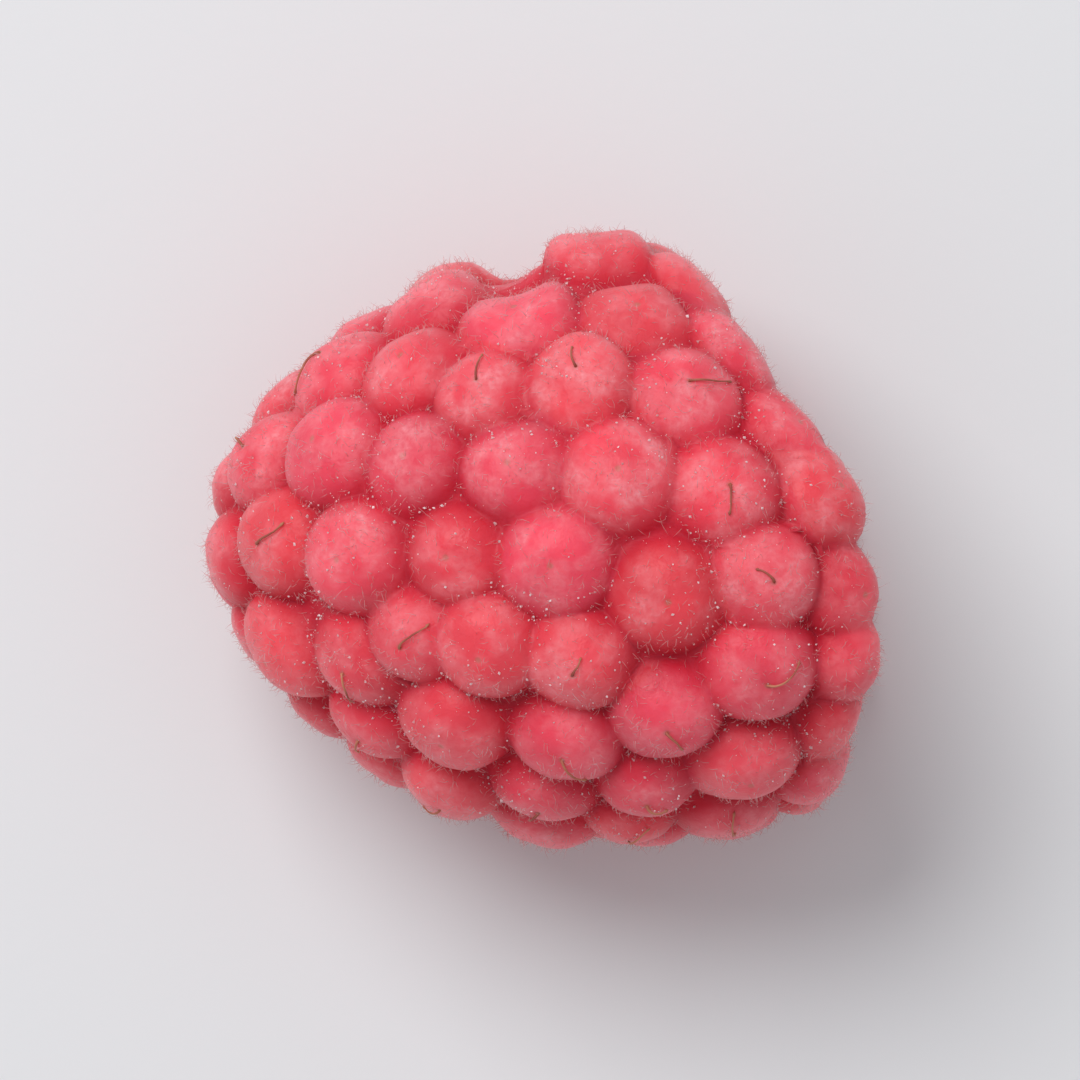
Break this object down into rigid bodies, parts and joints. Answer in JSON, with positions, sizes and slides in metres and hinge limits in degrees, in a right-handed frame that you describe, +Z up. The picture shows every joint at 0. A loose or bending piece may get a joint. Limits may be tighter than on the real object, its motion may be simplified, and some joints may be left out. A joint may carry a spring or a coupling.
{
  "type": "raspberry",
  "caption": "Picked raspberry lying on its side, round drupelets fused into a thimble around the open hollow left by its core",
  "frame": {"origin": "middle of the bounding box, on the surface that the berry lies on", "axes": "+X along the berry's axis from its tip to its open mouth, +Y across it, +Z up"},
  "size_m": [0.0196, 0.0182, 0.0163],
  "materials": {
    "raspberry": "pink-red fruit skin with a matt bloom of frost"
  },
  "bodies": {
    "root": {"raspberry": "raspberry"}
  },
  "joints": []
}
